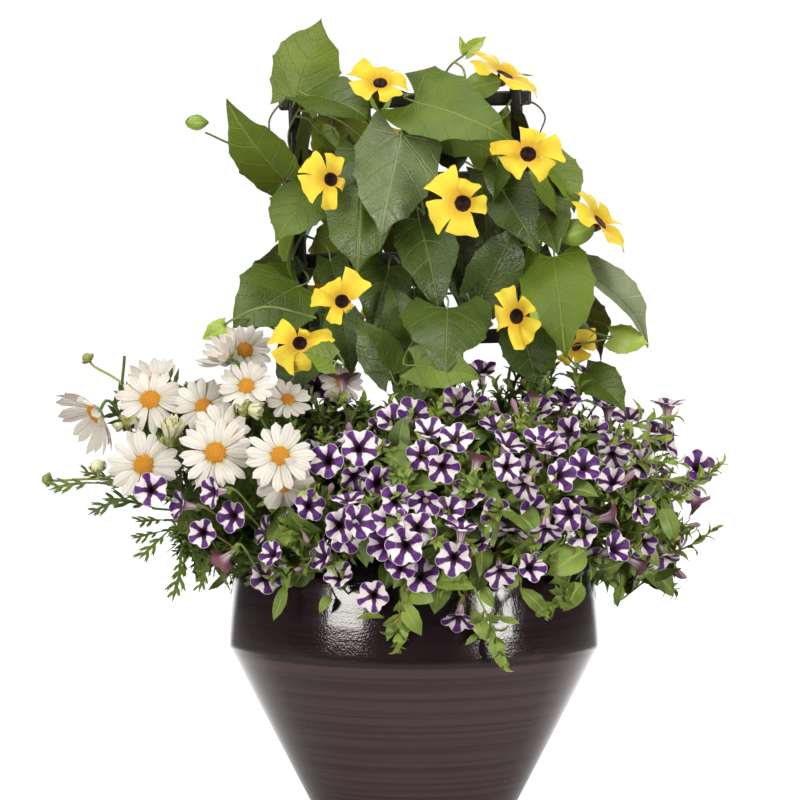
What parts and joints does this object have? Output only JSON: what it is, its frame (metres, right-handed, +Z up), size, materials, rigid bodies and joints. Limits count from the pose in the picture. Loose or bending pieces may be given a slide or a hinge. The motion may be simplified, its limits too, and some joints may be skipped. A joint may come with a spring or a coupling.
{
  "type": "planted patio pot with a climbing vine on a trellis",
  "caption": "Glazed conical patio pot with a ladder trellis, a yellow black-eyed susan vine, white daisies and striped calibrachoa.",
  "frame": {"origin": "centre of the pot's flat base, on the surface it stands on", "axes": "+Z up along the pot's axis, -Y towards the front where the flowers face, +X to the right"},
  "size_m": [0.551, 0.4111, 0.6691],
  "materials": {
    "glaze": "gloss",
    "potting_mix": "matte",
    "trellis_plastic": "satin",
    "vine_stem": "matte",
    "vine_leaf": "satin",
    "vine_petal": "matte",
    "daisy_petal": "matte",
    "daisy_foliage": "matte",
    "calibrachoa_foliage": "matte"
  },
  "bodies": {
    "root": {"calibrachoa_clump_back": "calibrachoa_foliage", "calibrachoa_clump_back_right": "calibrachoa_foliage", "calibrachoa_clump_far_right": "calibrachoa_foliage", "calibrachoa_clump_front": "calibrachoa_foliage", "calibrachoa_clump_left": "calibrachoa_foliage", "calibrachoa_clump_right": "calibrachoa_foliage", "calibrachoa_shoot_front": "calibrachoa_foliage", "calibrachoa_shoot_right": "calibrachoa_foliage", "daisy_01": "daisy_petal", "daisy_02": "daisy_petal", "daisy_03": "daisy_petal", "daisy_04": "daisy_petal", "daisy_05": "daisy_petal", "daisy_06": "daisy_petal", "daisy_07": "daisy_petal", "daisy_08": "daisy_petal", "daisy_09": "daisy_petal", "daisy_bud": "daisy_petal", "daisy_clump_back": "daisy_foliage", "daisy_clump_front": "daisy_foliage", "pot": "glaze", "potting_mix": "potting_mix", "trellis_bar_1": "trellis_plastic", "trellis_bar_2": "trellis_plastic", "trellis_bar_3": "trellis_plastic", "trellis_bar_4": "trellis_plastic", "trellis_bar_5": "trellis_plastic", "trellis_bar_6": "trellis_plastic", "trellis_upright_left": "trellis_plastic", "trellis_upright_right": "trellis_plastic", "vine_flower_01": "vine_petal", "vine_flower_02": "vine_petal", "vine_flower_03": "vine_petal", "vine_flower_04": "vine_petal", "vine_flower_05": "vine_petal", "vine_flower_06": "vine_petal", "vine_flower_07": "vine_petal", "vine_flower_08": "vine_petal", "vine_flower_09": "vine_petal", "vine_leaf_01": "vine_leaf", "vine_leaf_02": "vine_leaf", "vine_leaf_03": "vine_leaf", "vine_leaf_04": "vine_leaf", "vine_leaf_05": "vine_leaf", "vine_leaf_06": "vine_leaf", "vine_leaf_07": "vine_leaf", "vine_leaf_08": "vine_leaf", "vine_leaf_09": "vine_leaf", "vine_leaf_10": "vine_leaf", "vine_leaf_11": "vine_leaf", "vine_leaf_12": "vine_leaf", "vine_leaf_13": "vine_leaf", "vine_leaf_14": "vine_leaf", "vine_leaf_15": "vine_leaf", "vine_leaf_16": "vine_leaf", "vine_leaf_17": "vine_leaf", "vine_leaf_18": "vine_leaf", "vine_stem_left": "vine_stem", "vine_stem_middle": "vine_stem", "vine_stem_right": "vine_stem"}
  },
  "joints": []
}
